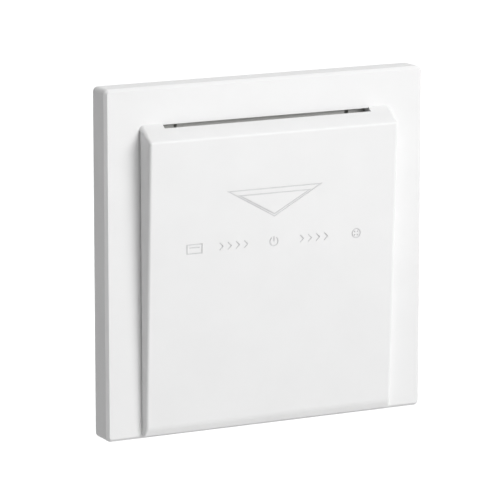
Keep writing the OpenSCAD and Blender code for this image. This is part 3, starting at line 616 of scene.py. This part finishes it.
def ball(centre, r, steps=10):
    """Points of a sphere, in rows round the X axis."""
    points = []
    for i in range(2 * steps + 1):
        a = math.pi * i / (2 * steps)
        for j in range(4 * steps):
            b = math.pi * j / (2 * steps)
            out = Vector((math.cos(a), math.sin(a) * math.cos(b), math.sin(a) * math.sin(b)))
            points.append(Vector(centre) + r * out)
    return points


def disc(x, y, z, r, steps=40):
    """Points of a circle in the plane at y."""
    turns = [2 * math.pi * i / steps for i in range(steps)]
    return [Vector((x + r * math.cos(a), y, z + r * math.sin(a))) for a in turns]


def cover_form():
    """Outer form of the pocket cover: the hull of its round edges, cut off at the plate's face."""
    rounds = [(top_edge(EDGE_R), EDGE_R)]
    z_bend = Z_FOOT + FOOT_RISE
    bend = Vector((front_depth(z_bend), z_bend)) - FOOT_R * FRONT_OUT
    for i in range(FOOT_STEPS + 1):
        a = FRONT_TILT + FOOT_TURN * i / FOOT_STEPS
        out = Vector((math.cos(a), -math.sin(a)))
        rounds.append((bend + (FOOT_R - EDGE_R) * out, EDGE_R))
    last = bend + (FOOT_R - FOOT_EDGE_R) * out
    run = (last.y - Z_FOOT - FOOT_EDGE_R) / math.cos(a)
    rounds.append((last - run * Vector((math.sin(a), math.cos(a))), FOOT_EDGE_R))
    points = []
    for side in (-1, 1):
        for at, r in rounds:
            points += ball((side * side_x(at.x, at.y, r), Y_FACE - at.x, at.y), r)
        x = side_x(0, Z_CREASE) - CREASE_CORNER_R
        points += disc(side * x, Y_FACE, Z_CREASE - CREASE_CORNER_R, CREASE_CORNER_R)
        points += disc(side * side_x(0, Z_FOOT, EDGE_R), Y_FACE, Z_FOOT + EDGE_R, EDGE_R)

    bm = bmesh.new()
    for p in points:
        bm.verts.new(p)
    bmesh.ops.remove_doubles(bm, verts=bm.verts, dist=SAME_POINT)
    hull = bmesh.ops.convex_hull(bm, input=bm.verts)
    loose = {v for v in hull["geom_interior"] + hull["geom_unused"] if isinstance(v, bmesh.types.BMVert)}
    bmesh.ops.delete(bm, geom=list(loose), context="VERTS")
    everything = bm.verts[:] + bm.edges[:] + bm.faces[:]
    bmesh.ops.bisect_plane(bm, geom=everything, dist=ON_PLANE, plane_co=(0, Y_FACE, 0), plane_no=(0, 1, 0),
                           clear_outer=True)
    bmesh.ops.holes_fill(bm, edges=[e for e in bm.edges if e.is_boundary])
    return mesh_object("cover_shell", bm)


def on_front(point, lift):
    """The place of a point across and up the cover's front, raised off it by lift."""
    x, up = point
    z = up - lift * math.sin(FRONT_TILT)
    return (x, Y_FACE - front_depth(up) - lift * math.cos(FRONT_TILT), z)


def stroke(bm, points, closed=False, onto=on_front):
    """Adds a cutter for an engraved line to a bmesh, along points on a face."""
    points = [Vector(p) for p in points]
    count = len(points)
    sides = []
    for i, p in enumerate(points):
        before = points[i - 1] if closed or i else None
        after = points[(i + 1) % count] if closed or i + 1 < count else None
        a = (p - before).normalized() if before else (after - p).normalized()
        b = (after - p).normalized() if after else a
        normal = Vector((-(a + b).y, (a + b).x)).normalized()
        reach = MARK_LINE / 2 / max(LEAST_MITRE, normal.dot(Vector((-a.y, a.x))))
        sides.append((p + reach * normal, p - reach * normal))
    rings = []
    for left, right in sides:
        corners = ((left, PAST), (right, PAST), (right, -MARK_DEPTH), (left, -MARK_DEPTH))
        rings.append([bm.verts.new(onto(q, lift)) for q, lift in corners])
    for i in range(count if closed else count - 1):
        one, two = rings[i], rings[(i + 1) % count]
        for k in range(4):
            bm.faces.new((one[k], one[(k + 1) % 4], two[(k + 1) % 4], two[k]))
    if not closed:
        bm.faces.new(rings[0])
        bm.faces.new(rings[-1])


def arrow_line(width, height, drop):
    """Middle of the line just inside a triangle that points down."""
    r = width * height / (width + 2 * math.hypot(width / 2, height))
    keep = 1 - MARK_LINE / 2 / r
    corners = ((-width / 2, 0), (width / 2, 0), (0, -height))
    return [(x * keep, ARROW_Z - drop - r + keep * (z + r)) for x, z in corners]


def marks():
    """Cutter for the arrow and a row of plain signs: card, power and lamp with chevrons between them."""
    bm = bmesh.new()
    for width, height, drop in ARROWS:
        stroke(bm, arrow_line(width, height, drop), closed=True)
    half = SIGN_H / 2
    r = half - MARK_LINE / 2

    corners = ((-1, -1), (1, -1), (1, 1), (-1, 1))
    stroke(bm, [(CARD_SIGN_X + sx * CARD_SIGN_HALF, SIGNS_Z + sz * r) for sx, sz in corners], closed=True)
    stripe = CARD_SIGN_HALF - STRIPE_IN
    stroke(bm, [(CARD_SIGN_X + side * stripe, SIGNS_Z + STRIPE_UP) for side in (-1, 1)])

    stroke(bm, arc((0, SIGNS_Z), r, *POWER_ARC))
    stroke(bm, [(0, SIGNS_Z), (0, SIGNS_Z + half)])

    last = 360 - 360 / LAMP_SIGN_SIDES
    stroke(bm, arc((LAMP_SIGN_X, SIGNS_Z), r, 0, last, LAMP_SIGN_SIDES - 1), closed=True)
    reach = (r - MARK_LINE) * math.sqrt(0.5)
    for turn in range(4):
        c, s = math.cos(turn * math.pi / 2), math.sin(turn * math.pi / 2)
        stroke(bm, [(LAMP_SIGN_X + k * (c - s), SIGNS_Z + k * (c + s)) for k in (RAY_START, reach)])

    across, up = CHEVRON_HALF
    for start in CHEVRON_STARTS:
        for i in range(CHEVRON_COUNT):
            x = start + CHEVRON_PITCH * i
            stroke(bm, [(x - across, SIGNS_Z + up), (x + across, SIGNS_Z), (x - across, SIGNS_Z - up)])
    cutter = mesh_object("marks", bm)
    cutter.data.materials.append(mark_paint)
    return cutter


def base_cutter(side):
    """Cutter for the round and the fine gap along the base of one side of the cover."""
    loops = []
    for z, r, gap in zip((Z_CREASE - CREASE_CORNER_R, Z_FOOT + 2 * EDGE_R), BASE_R, BASE_GAP):
        x = side_x(r, z)
        turn = math.degrees(math.asin(1 - gap / r))
        inside = x - r - BASE_GAP_IN
        outline = [(x + PAST, Y_FACE - r)]
        outline += arc((x - r, Y_FACE - r), r, 0, turn, BASE_STEPS)
        outline += [(inside, Y_FACE - gap), (inside, Y_FACE + PAST), (x + PAST, Y_FACE + PAST)]
        loops.append([(side * px, y, z) for px, y in outline])
    return mesh_object("base_round", loft(loops))


def rib(side, x, thick, depth, low, high):
    """A wall along the cover's hollow, from that depth to the middle of its front, between two heights."""
    outline = [
        (Y_FACE - depth, low), (Y_FACE - max(depth, front_depth(low) - MID_WALL), low),
        (Y_FACE - front_depth(high) + MID_WALL, high), (Y_FACE - depth, high),
    ]
    return prism("rib", outline, side * x, side * (x + thick))


def leg(side, z):
    """A snap leg of the cover, with a hook behind the plate's skin."""
    root = Y_FACE - front_depth(z - 2 * LEG_HALF) + MID_WALL
    hook = Y_SKIN + HOOK_FIT
    end = hook + HOOK_REACH
    tip = LEG_OUT + HOOK_REACH
    slant_x, slant_y = HOOK_SLANT
    outline = [(LEG_IN, root), (LEG_OUT, root), (LEG_OUT, hook), (tip, hook),
               (tip - slant_x, hook + slant_y), (LEG_OUT, end), (LEG_IN, end)]
    return mesh_object("leg", loft(
        [[(side * x, y, h) for x, y in outline] for h in (z - LEG_HALF, z + LEG_HALF)]))


def pocket_cover():
    """The hollow cover with its slot and marks, and with ribs, guides and legs inside."""
    cover = cover_form()
    cover.data.materials.append(finishes["white_plastic"])
    corner = top_edge(COVER_WALL)
    z_back = corner.y + (corner.x + PAST) * math.tan(SLOPE)
    inner = COVER_WALL / math.cos(FRONT_TILT)
    cuts = [
        prism("hollow", [
            (Y_FACE + PAST, z_back), (Y_FACE - corner.x, corner.y),
            (Y_FACE - front_depth(Z_STOP) + inner, Z_STOP), (Y_FACE + PAST, Z_STOP),
        ], -INNER_HALF, INNER_HALF),
        box("slot", (-SLOT_HALF, Y_FACE - SLOT_W, Z_SLOT_LOW), (SLOT_HALF, Y_FACE + PAST, Z_CREASE + PAST)),
        marks(),
    ]
    cuts += [base_cutter(side) for side in (-1, 1)]
    combine(cover, cuts, "DIFFERENCE")
    joins = []
    for side in (-1, 1):
        joins.append(rib(side, RIB_X - RIB_T / 2, RIB_T, SLOT_W, RIB_LOW, Z_FRONT_TOP - MID_WALL))
        joins.append(rib(side, GUIDE_X, GUIDE_T, 0, Z_STOP - BITE, GUIDE_TOP))
        joins += [leg(side, z) for z in LEG_Z]
    combine(cover, joins, "UNION")
    clean(cover, COVER_FLAT)
    stand_for(soften(cover), "pocket_cover")


def flap_spring(side):
    """A return spring with closed ends."""
    low, high = spring_low.y + WIRE_R, spring_high.y - WIRE_R
    dead = 2 * WIRE_R / (high - low)
    end = 1 / SPRING_TURNS
    count = SPRING_TURNS * TURN_STEPS
    ring = [2 * math.pi * k / WIRE_SIDES for k in range(WIRE_SIDES)]
    along = Vector((0, 1, 0))
    loops = []
    for i in range(count + 1):
        t = i / count
        if t < end:
            rise = t / end * dead
        elif t > 1 - end:
            rise = 1 - (1 - t) / end * dead
        else:
            rise = dead + (t - end) / (1 - 2 * end) * (1 - 2 * dead)
        a = 2 * math.pi * i / TURN_STEPS
        out = Vector((math.cos(a), 0, math.sin(a)))
        centre = Vector((side * SPRING_AT[0], low + (high - low) * rise, SPRING_AT[1])) + COIL_R * out
        loops.append([centre + WIRE_R * (math.cos(b) * out + math.sin(b) * along) for b in ring])
    return mesh_object("spring", loft(loops))


def flap_springs():
    """Both return springs."""
    springs = merged("return_springs", [flap_spring(side) for side in (-1, 1)])
    stand_for(soften(springs), "flap_springs")
    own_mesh(springs)


def copied(node, name):
    """A cleaned copy of a CAD node's mesh in a new object."""
    mesh = frame["nodes"][node].data.copy()
    mesh.name = name
    mesh.materials.clear()
    obj = link(bpy.data.objects.new(name, mesh))
    clean(obj)
    return obj


def dressed(node, name, width, cuts=()):
    """Stands a copy of a CAD node, with extra cuts and rounded edges, in the node's place."""
    obj = copied(node, name)
    if cuts:
        combine(obj, cuts, "DIFFERENCE")
        clean(obj)
    stand_for(soften(obj, width), node)


def stadium(name, x, z, reach, r, y0, y1, steps=16):
    """A cutter with round ends along X, from y0 to y1."""
    outline = []
    for side, start in ((1, -90), (-1, 90)):
        outline += arc((x + side * reach, z), r, start, start + 180, steps)
    return mesh_object(name, loft([[(px, y, pz) for px, pz in outline] for y in (y0, y1)]))


def support_frame():
    """The frame with seats round its fixing slots, sunk panels and a mark for its top."""
    low, high = node_box("support_frame")
    y, half = low.y, high.x
    cuts = []
    for side in (-1, 1):
        cuts.append(stadium("seat", side * FIXING_AT, 0, SEAT_REACH, SEAT_R, y - PAST, y + SEAT_DEPTH))
    for side in (-1, 1):
        x0, x1 = sorted((side * FRAME_PANEL_X, side * (half - FRAME_PANEL_RIM)))
        for level in (1, -1):
            z0, z1 = sorted(level * z for z in FRAME_PANEL_Z)
            cuts.append(box("panel", (x0, y - PAST, z0), (x1, y + FRAME_PANEL_DEPTH, z1)))
    bm = bmesh.new()
    stroke(bm, UP_MARK, True, lambda q, lift: (q[0], y - lift, half - UP_MARK_IN + q[1]))
    cuts.append(mesh_object("up_mark", bm))
    dressed("support_frame", "frame_moulding", FRAME_EDGE, cuts)


def mechanism_base():
    """The rear housing with numerals, a sunk panel and ejector marks on its back."""
    back = node_box("mechanism_base")[1].y
    line = node_box("terminal_screws")[1].z + NUMERAL_UP
    bm = bmesh.new()
    for node, points in zip(TERMINALS, NUMERALS):
        low, high = node_box(node)
        middle = (low.x + high.x) / 2
        stroke(bm, points, False, lambda q, lift: (middle - q[0], back + lift, line + q[1]))
    z0, z1 = BACK_PANEL_Z
    cuts = [
        mesh_object("numerals", bm),
        box("panel", (-BACK_PANEL_HALF, back - BACK_PANEL_DEPTH, z0), (BACK_PANEL_HALF, back + PAST, z1)),
    ]
    sunk, out = back - EJECTOR_DEPTH, back + PAST
    ejector = [(AXIS_R, sunk), (EJECTOR_R, sunk), (EJECTOR_R, out), (AXIS_R, out)]
    for x in (-EJECTOR_X, EJECTOR_X):
        for z in EJECTOR_Z:
            cuts.append(turned("ejector", ejector, (x, 0, z)))
    dressed("mechanism_base", "housing_moulding", HOUSING_EDGE, cuts)


def switch_lid():
    """The lid of the switch case with a sunk panel."""
    low, high = node_box("switch_case_lid")
    panel = box("panel", (high.x - LID_PANEL_DEPTH, low.y + LID_PANEL_RIM, LID_PANEL_LOW),
                (high.x + PAST, high.y - LID_PANEL_RIM, high.z - LID_PANEL_RIM))
    dressed("switch_case_lid", "switch_lid_moulding", LID_EDGE, [panel])


def screw(kind, at, axis, facing, length):
    """A screw whose head's face is at a point and looks along the axis in the direction facing, 1 or -1."""
    r, head_r, head_h, pitch = kind["r"], kind["head_r"], kind["head_h"], kind["pitch"]
    tip = SCREW_TIP * r
    rim = SUNK_RIM if kind["sunk"] else head_h
    rounds = SUNK_ROUNDS if kind["sunk"] else HEAD_ROUNDS
    outline = [(AXIS_R, 0), (head_r, 0), (head_r, rim), (r, head_h), (r, length - tip), (r - tip, length),
               (AXIS_R, length)]
    profile = [(p.x, -facing * p.y) for p in fillet(outline, rounds)]
    if facing > 0:
        profile.reverse()
    start, end = sorted((-facing * (head_h + pitch), -facing * (length - tip)))
    body = turned("screw", profile, at, axis, (start, end, r, kind["core"], pitch))

    along, across, up = AXES[axis]
    reach = head_r * (CROSS_REACH if kind["arms"] == 2 else SLOT_REACH)
    cuts = []
    for one, two in ((across, up), (up, across))[:kind["arms"]]:
        corner = reach * one + kind["drive_w"] / 2 * two
        a = Vector(at) + facing * PAST * along - corner
        b = Vector(at) - facing * kind["drive_depth"] * along + corner
        low = [min(p, q) for p, q in zip(a, b)]
        high = [max(p, q) for p, q in zip(a, b)]
        cuts.append(box("drive", low, high))
    return combine(body, cuts, "DIFFERENCE")


def screw_set(node, name, kind, places, axis, facing, length):
    """Stands separate screws of one kind in the place of a node."""
    made = [screw(kind, at, axis, facing, length) for at in places]
    stand_for(soften(merged(name, made)), node)


def screws():
    """The three sets of screws, placed by the boxes of their nodes."""
    low, high = node_box("housing_screws")
    r = HOUSING_SCREW["head_r"]
    x = high.x - r
    places = [(side * x, low.y, z) for side in (-1, 1) for z in (low.z + r, high.z - r)]
    screw_set("housing_screws", "housing_screw_set", HOUSING_SCREW, places, "Y", -1, high.y - low.y)

    low, high = node_box("switch_screws")
    r = SWITCH_SCREW["head_r"]
    places = [(high.x, low.y + r, low.z + r), (high.x, high.y - r, high.z - r)]
    screw_set("switch_screws", "switch_screw_set", SWITCH_SCREW, places, "X", 1, high.x - low.x)

    low, high = node_box("terminal_screws")
    r = TERMINAL_SCREW["head_r"]
    places = [(x, high.y, (low.z + high.z) / 2) for x in (low.x + r, 0, high.x - r)]
    screw_set("terminal_screws", "terminal_screw_set", TERMINAL_SCREW, places, "Y", 1, high.y - low.y)


def pin(node, name):
    """A plain pin along X with rounded ends."""
    low, high = node_box(node)
    r = (high.y - low.y) / 2
    ends = [(AXIS_R, low.x), (r, low.x), (r, high.x), (AXIS_R, high.x)]
    at = (0, (low.y + high.y) / 2, (low.z + high.z) / 2)
    stand_for(soften(turned(name, fillet(ends, [PIN_ROUND * r, PIN_ROUND * r]), at, "X")), node)


def dome(r, edge, tip, steps=DOME_STEPS):
    """Outline of a domed end, from its edge to its tip on the axis."""
    points = []
    for i in range(steps + 1):
        a = math.pi / 2 * i / steps
        points.append((max(AXIS_R, r * math.cos(a)), edge + (tip - edge) * math.sin(a)))
    return points


def turned_piece(node, name, outline):
    """Stands a piece turned about a line along Y, through the middle of the node, in the node's place."""
    low, high = node_box(node)
    stand_for(soften(turned(name, outline, (0, 0, (low.z + high.z) / 2))), node)


def contacts():
    """The rivet on the blade, domed at both ends, and the two fixed contacts that it meets."""
    low, high = node_box("moving_contact")
    r = (high.x - low.x) / 2
    head_low, head_high = low.y + HEAD_T, high.y - HEAD_T
    necked = [(r, head_low), (NECK_R, head_low), (NECK_R, head_high), (r, head_high)]
    outline = dome(r, low.y + DOME_H, low.y)[::-1] + necked + dome(r, high.y - DOME_H, high.y)
    turned_piece("moving_contact", "blade_rivet", outline)

    low, high = node_box("open_contact")
    r = (high.x - low.x) / 2
    outline = [(AXIS_R, high.y), (r, high.y)] + dome(r, low.y + DOME_H, low.y)
    turned_piece("open_contact", "open_rivet", outline)

    low, high = node_box("closed_contact")
    r = (high.x - low.x) / 2
    outline = [(AXIS_R, low.y), (r, low.y)] + dome(r, high.y - DOME_H, high.y)
    turned_piece("closed_contact", "closed_rivet", outline)


def plunger():
    """A pin with a round tip and a collar."""
    low, high = node_box("switch_plunger")
    r, collar_r = PLUNGER_R, (high.x - low.x) / 2
    collar = low.y + COLLAR_AT
    behind = collar + COLLAR_T
    tip = dome(r, low.y + r, low.y, PLUNGER_STEPS)[::-1]
    outline = [tip[-1], (r, collar), (collar_r, collar), (collar_r, behind), (r, behind),
               (r, high.y), (AXIS_R, high.y)]
    turned_piece("switch_plunger", "plunger_pin", tip[:-1] + fillet(outline, PLUNGER_ROUNDS))


def camera():
    """A camera at the photograph's place, without lens shift."""
    ahead = Vector((math.sin(VIEW_AZIMUTH), math.cos(VIEW_AZIMUTH), 0))
    aside = Vector((math.cos(VIEW_AZIMUTH), -math.sin(VIEW_AZIMUTH), 0))
    up = Vector((0, 0, 1))
    data = bpy.data.cameras.new("camera")
    data.sensor_width = SENSOR_MM
    data.lens = VIEW_FOCAL_PX / IMAGE_PX * SENSOR_MM
    data.clip_end = VIEW_END
    obj = link(bpy.data.objects.new("camera", data))
    obj.location = -VIEW_BACK * ahead + VIEW_ASIDE * aside + VIEW_UP * up
    look = math.cos(VIEW_PITCH) * ahead - math.sin(VIEW_PITCH) * up
    obj.rotation_euler = look.to_track_quat("-Z", "Y").to_euler()
    scene.camera = obj


def seen_directly(tree):
    """1 on rays that the camera, a reflection or a see-through surface sends, and 0 on those that light."""
    path = tree.nodes.new("ShaderNodeLightPath")
    value = path.outputs["Is Camera Ray"]
    for other in ("Is Glossy Ray", "Is Transmission Ray"):
        either = tree.nodes.new("ShaderNodeMath")
        either.operation = "MAXIMUM"
        tree.links.new(value, either.inputs[0])
        tree.links.new(path.outputs[other], either.inputs[1])
        value = either.outputs[0]
    return value


def switched(tree, low, high):
    """A value that is high on rays that see the surface, and low on those that light the object."""
    choice = tree.nodes.new("ShaderNodeMapRange")
    choice.inputs["To Min"].default_value = low
    choice.inputs["To Max"].default_value = high
    tree.links.new(seen_directly(tree), choice.inputs["Value"])
    return choice.outputs["Result"]


def towards(azimuth, height):
    """Direction to a light that is turned to the right of the front and raised, in degrees."""
    a, h = math.radians(azimuth), math.radians(height)
    return Vector((math.sin(a) * math.cos(h), -math.cos(a) * math.cos(h), math.sin(h)))


def aim(lamp, out):
    """Turns a lamp so that it shines against a direction."""
    lamp.rotation_euler = (-out).to_track_quat("-Z", "Y").to_euler()


def backdrop():
    """White wherever it is seen, and a dimmer light on the object."""
    world = bpy.data.worlds.new("world")
    scene.world = world
    world.use_nodes = True
    tree = world.node_tree
    background = tree.nodes["Background"]
    background.inputs["Color"].default_value = (1, 1, 1, 1)
    tree.links.new(switched(tree, WORLD_LIGHT, 1.0), background.inputs["Strength"])


def lights():
    """Two soft suns, and a small lamp near the front."""
    for azimuth, height, tone, softness in SUNS:
        sun = bpy.data.lights.new("sun", "SUN")
        sun.energy = tone * math.pi
        sun.angle = math.radians(softness)
        aim(link(bpy.data.objects.new("sun", sun)), towards(azimuth, height))
    panel = bpy.data.lights.new("panel", "AREA")
    panel.shape = "DISK"
    panel.size = LAMP_SIZE
    panel.energy = LAMP_LIGHT * (math.pi * LAMP_DISTANCE) ** 2
    lamp = link(bpy.data.objects.new("panel", panel))
    lamp.location = LAMP_DISTANCE * towards(*LAMP_TURN)
    aim(lamp, lamp.location)


def pale_floor():
    """A plain pale floor, well below the object."""
    bm = bmesh.new()
    bmesh.ops.create_grid(bm, x_segments=1, y_segments=1, size=FLOOR_HALF / MM)
    floor = mesh_object("floor", bm)
    floor.location.z = FLOOR_Z
    material = bpy.data.materials.new("floor")
    material.use_nodes = True
    tree = material.node_tree
    shader = tree.nodes["Principled BSDF"]
    shader.inputs["Base Color"].default_value = (FLOOR_TONE, FLOOR_TONE, FLOOR_TONE, 1)
    shader.inputs["Roughness"].default_value = 1.0
    shader.inputs["Specular IOR Level"].default_value = 0.0
    shader.inputs["Emission Color"].default_value = (1, 1, 1, 1)
    tree.links.new(switched(tree, 0.0, FLOOR_GLOW), shader.inputs["Emission Strength"])
    floor.data.materials.append(material)


def finish(name, light, dark, roughness, blotch=12.0, metallic=0.0, stretch=(1, 1, 1)):
    """A procedural finish: blotches of two near colours, uneven gloss and a fine grain."""
    material = bpy.data.materials.new(name)
    material.use_nodes = True
    tree = material.node_tree
    shader = tree.nodes["Principled BSDF"]
    shader.inputs["Metallic"].default_value = metallic
    place = tree.nodes.new("ShaderNodeTexCoord")
    pull = tree.nodes.new("ShaderNodeMapping")
    pull.inputs["Scale"].default_value = stretch
    tree.links.new(place.outputs["Object"], pull.inputs["Vector"])

    def noise(size, detail):
        texture = tree.nodes.new("ShaderNodeTexNoise")
        texture.inputs["Scale"].default_value = 1 / (size * MM)
        texture.inputs["Detail"].default_value = detail
        tree.links.new(pull.outputs["Vector"], texture.inputs["Vector"])
        return texture.outputs["Fac"]

    wide, fine = noise(blotch, BLOTCH_DETAIL), noise(GRAIN, GRAIN_DETAIL)
    ramp = tree.nodes.new("ShaderNodeValToRGB")
    for stop, at, colour in zip(ramp.color_ramp.elements, BLOTCH_STOPS, (dark, light)):
        stop.position = at
        stop.color = (*colour, 1)
    tree.links.new(wide, ramp.inputs["Fac"])
    tree.links.new(ramp.outputs["Color"], shader.inputs["Base Color"])
    gloss = tree.nodes.new("ShaderNodeMapRange")
    gloss.inputs["From Min"].default_value = GRAIN_RANGE[0]
    gloss.inputs["From Max"].default_value = GRAIN_RANGE[1]
    gloss.inputs["To Min"].default_value = roughness - GLOSS_SPREAD
    gloss.inputs["To Max"].default_value = roughness + GLOSS_SPREAD
    tree.links.new(fine, gloss.inputs["Value"])
    tree.links.new(gloss.outputs["Result"], shader.inputs["Roughness"])
    relief = tree.nodes.new("ShaderNodeBump")
    relief.inputs["Strength"].default_value = RELIEF_STRENGTH
    relief.inputs["Distance"].default_value = RELIEF * MM
    tree.links.new(fine, relief.inputs["Height"])
    tree.links.new(relief.outputs["Normal"], shader.inputs["Normal"])
    return material


finishes = {name: finish(name, **look) for name, look in LOOKS.items()}
mark_paint = finish("mark_paint", **MARK_LOOK)

scene.view_settings.view_transform = "Standard"
camera()
backdrop()
lights()
pale_floor()
front_plate()
pocket_cover()
flap_springs()
screws()
pin("flap_pin", "hinge_pin")
pin("blade_pin", "blade_axle")
contacts()
plunger()
support_frame()
mechanism_base()
switch_lid()
for node, name, width in COPIES:
    dressed(node, name, width)
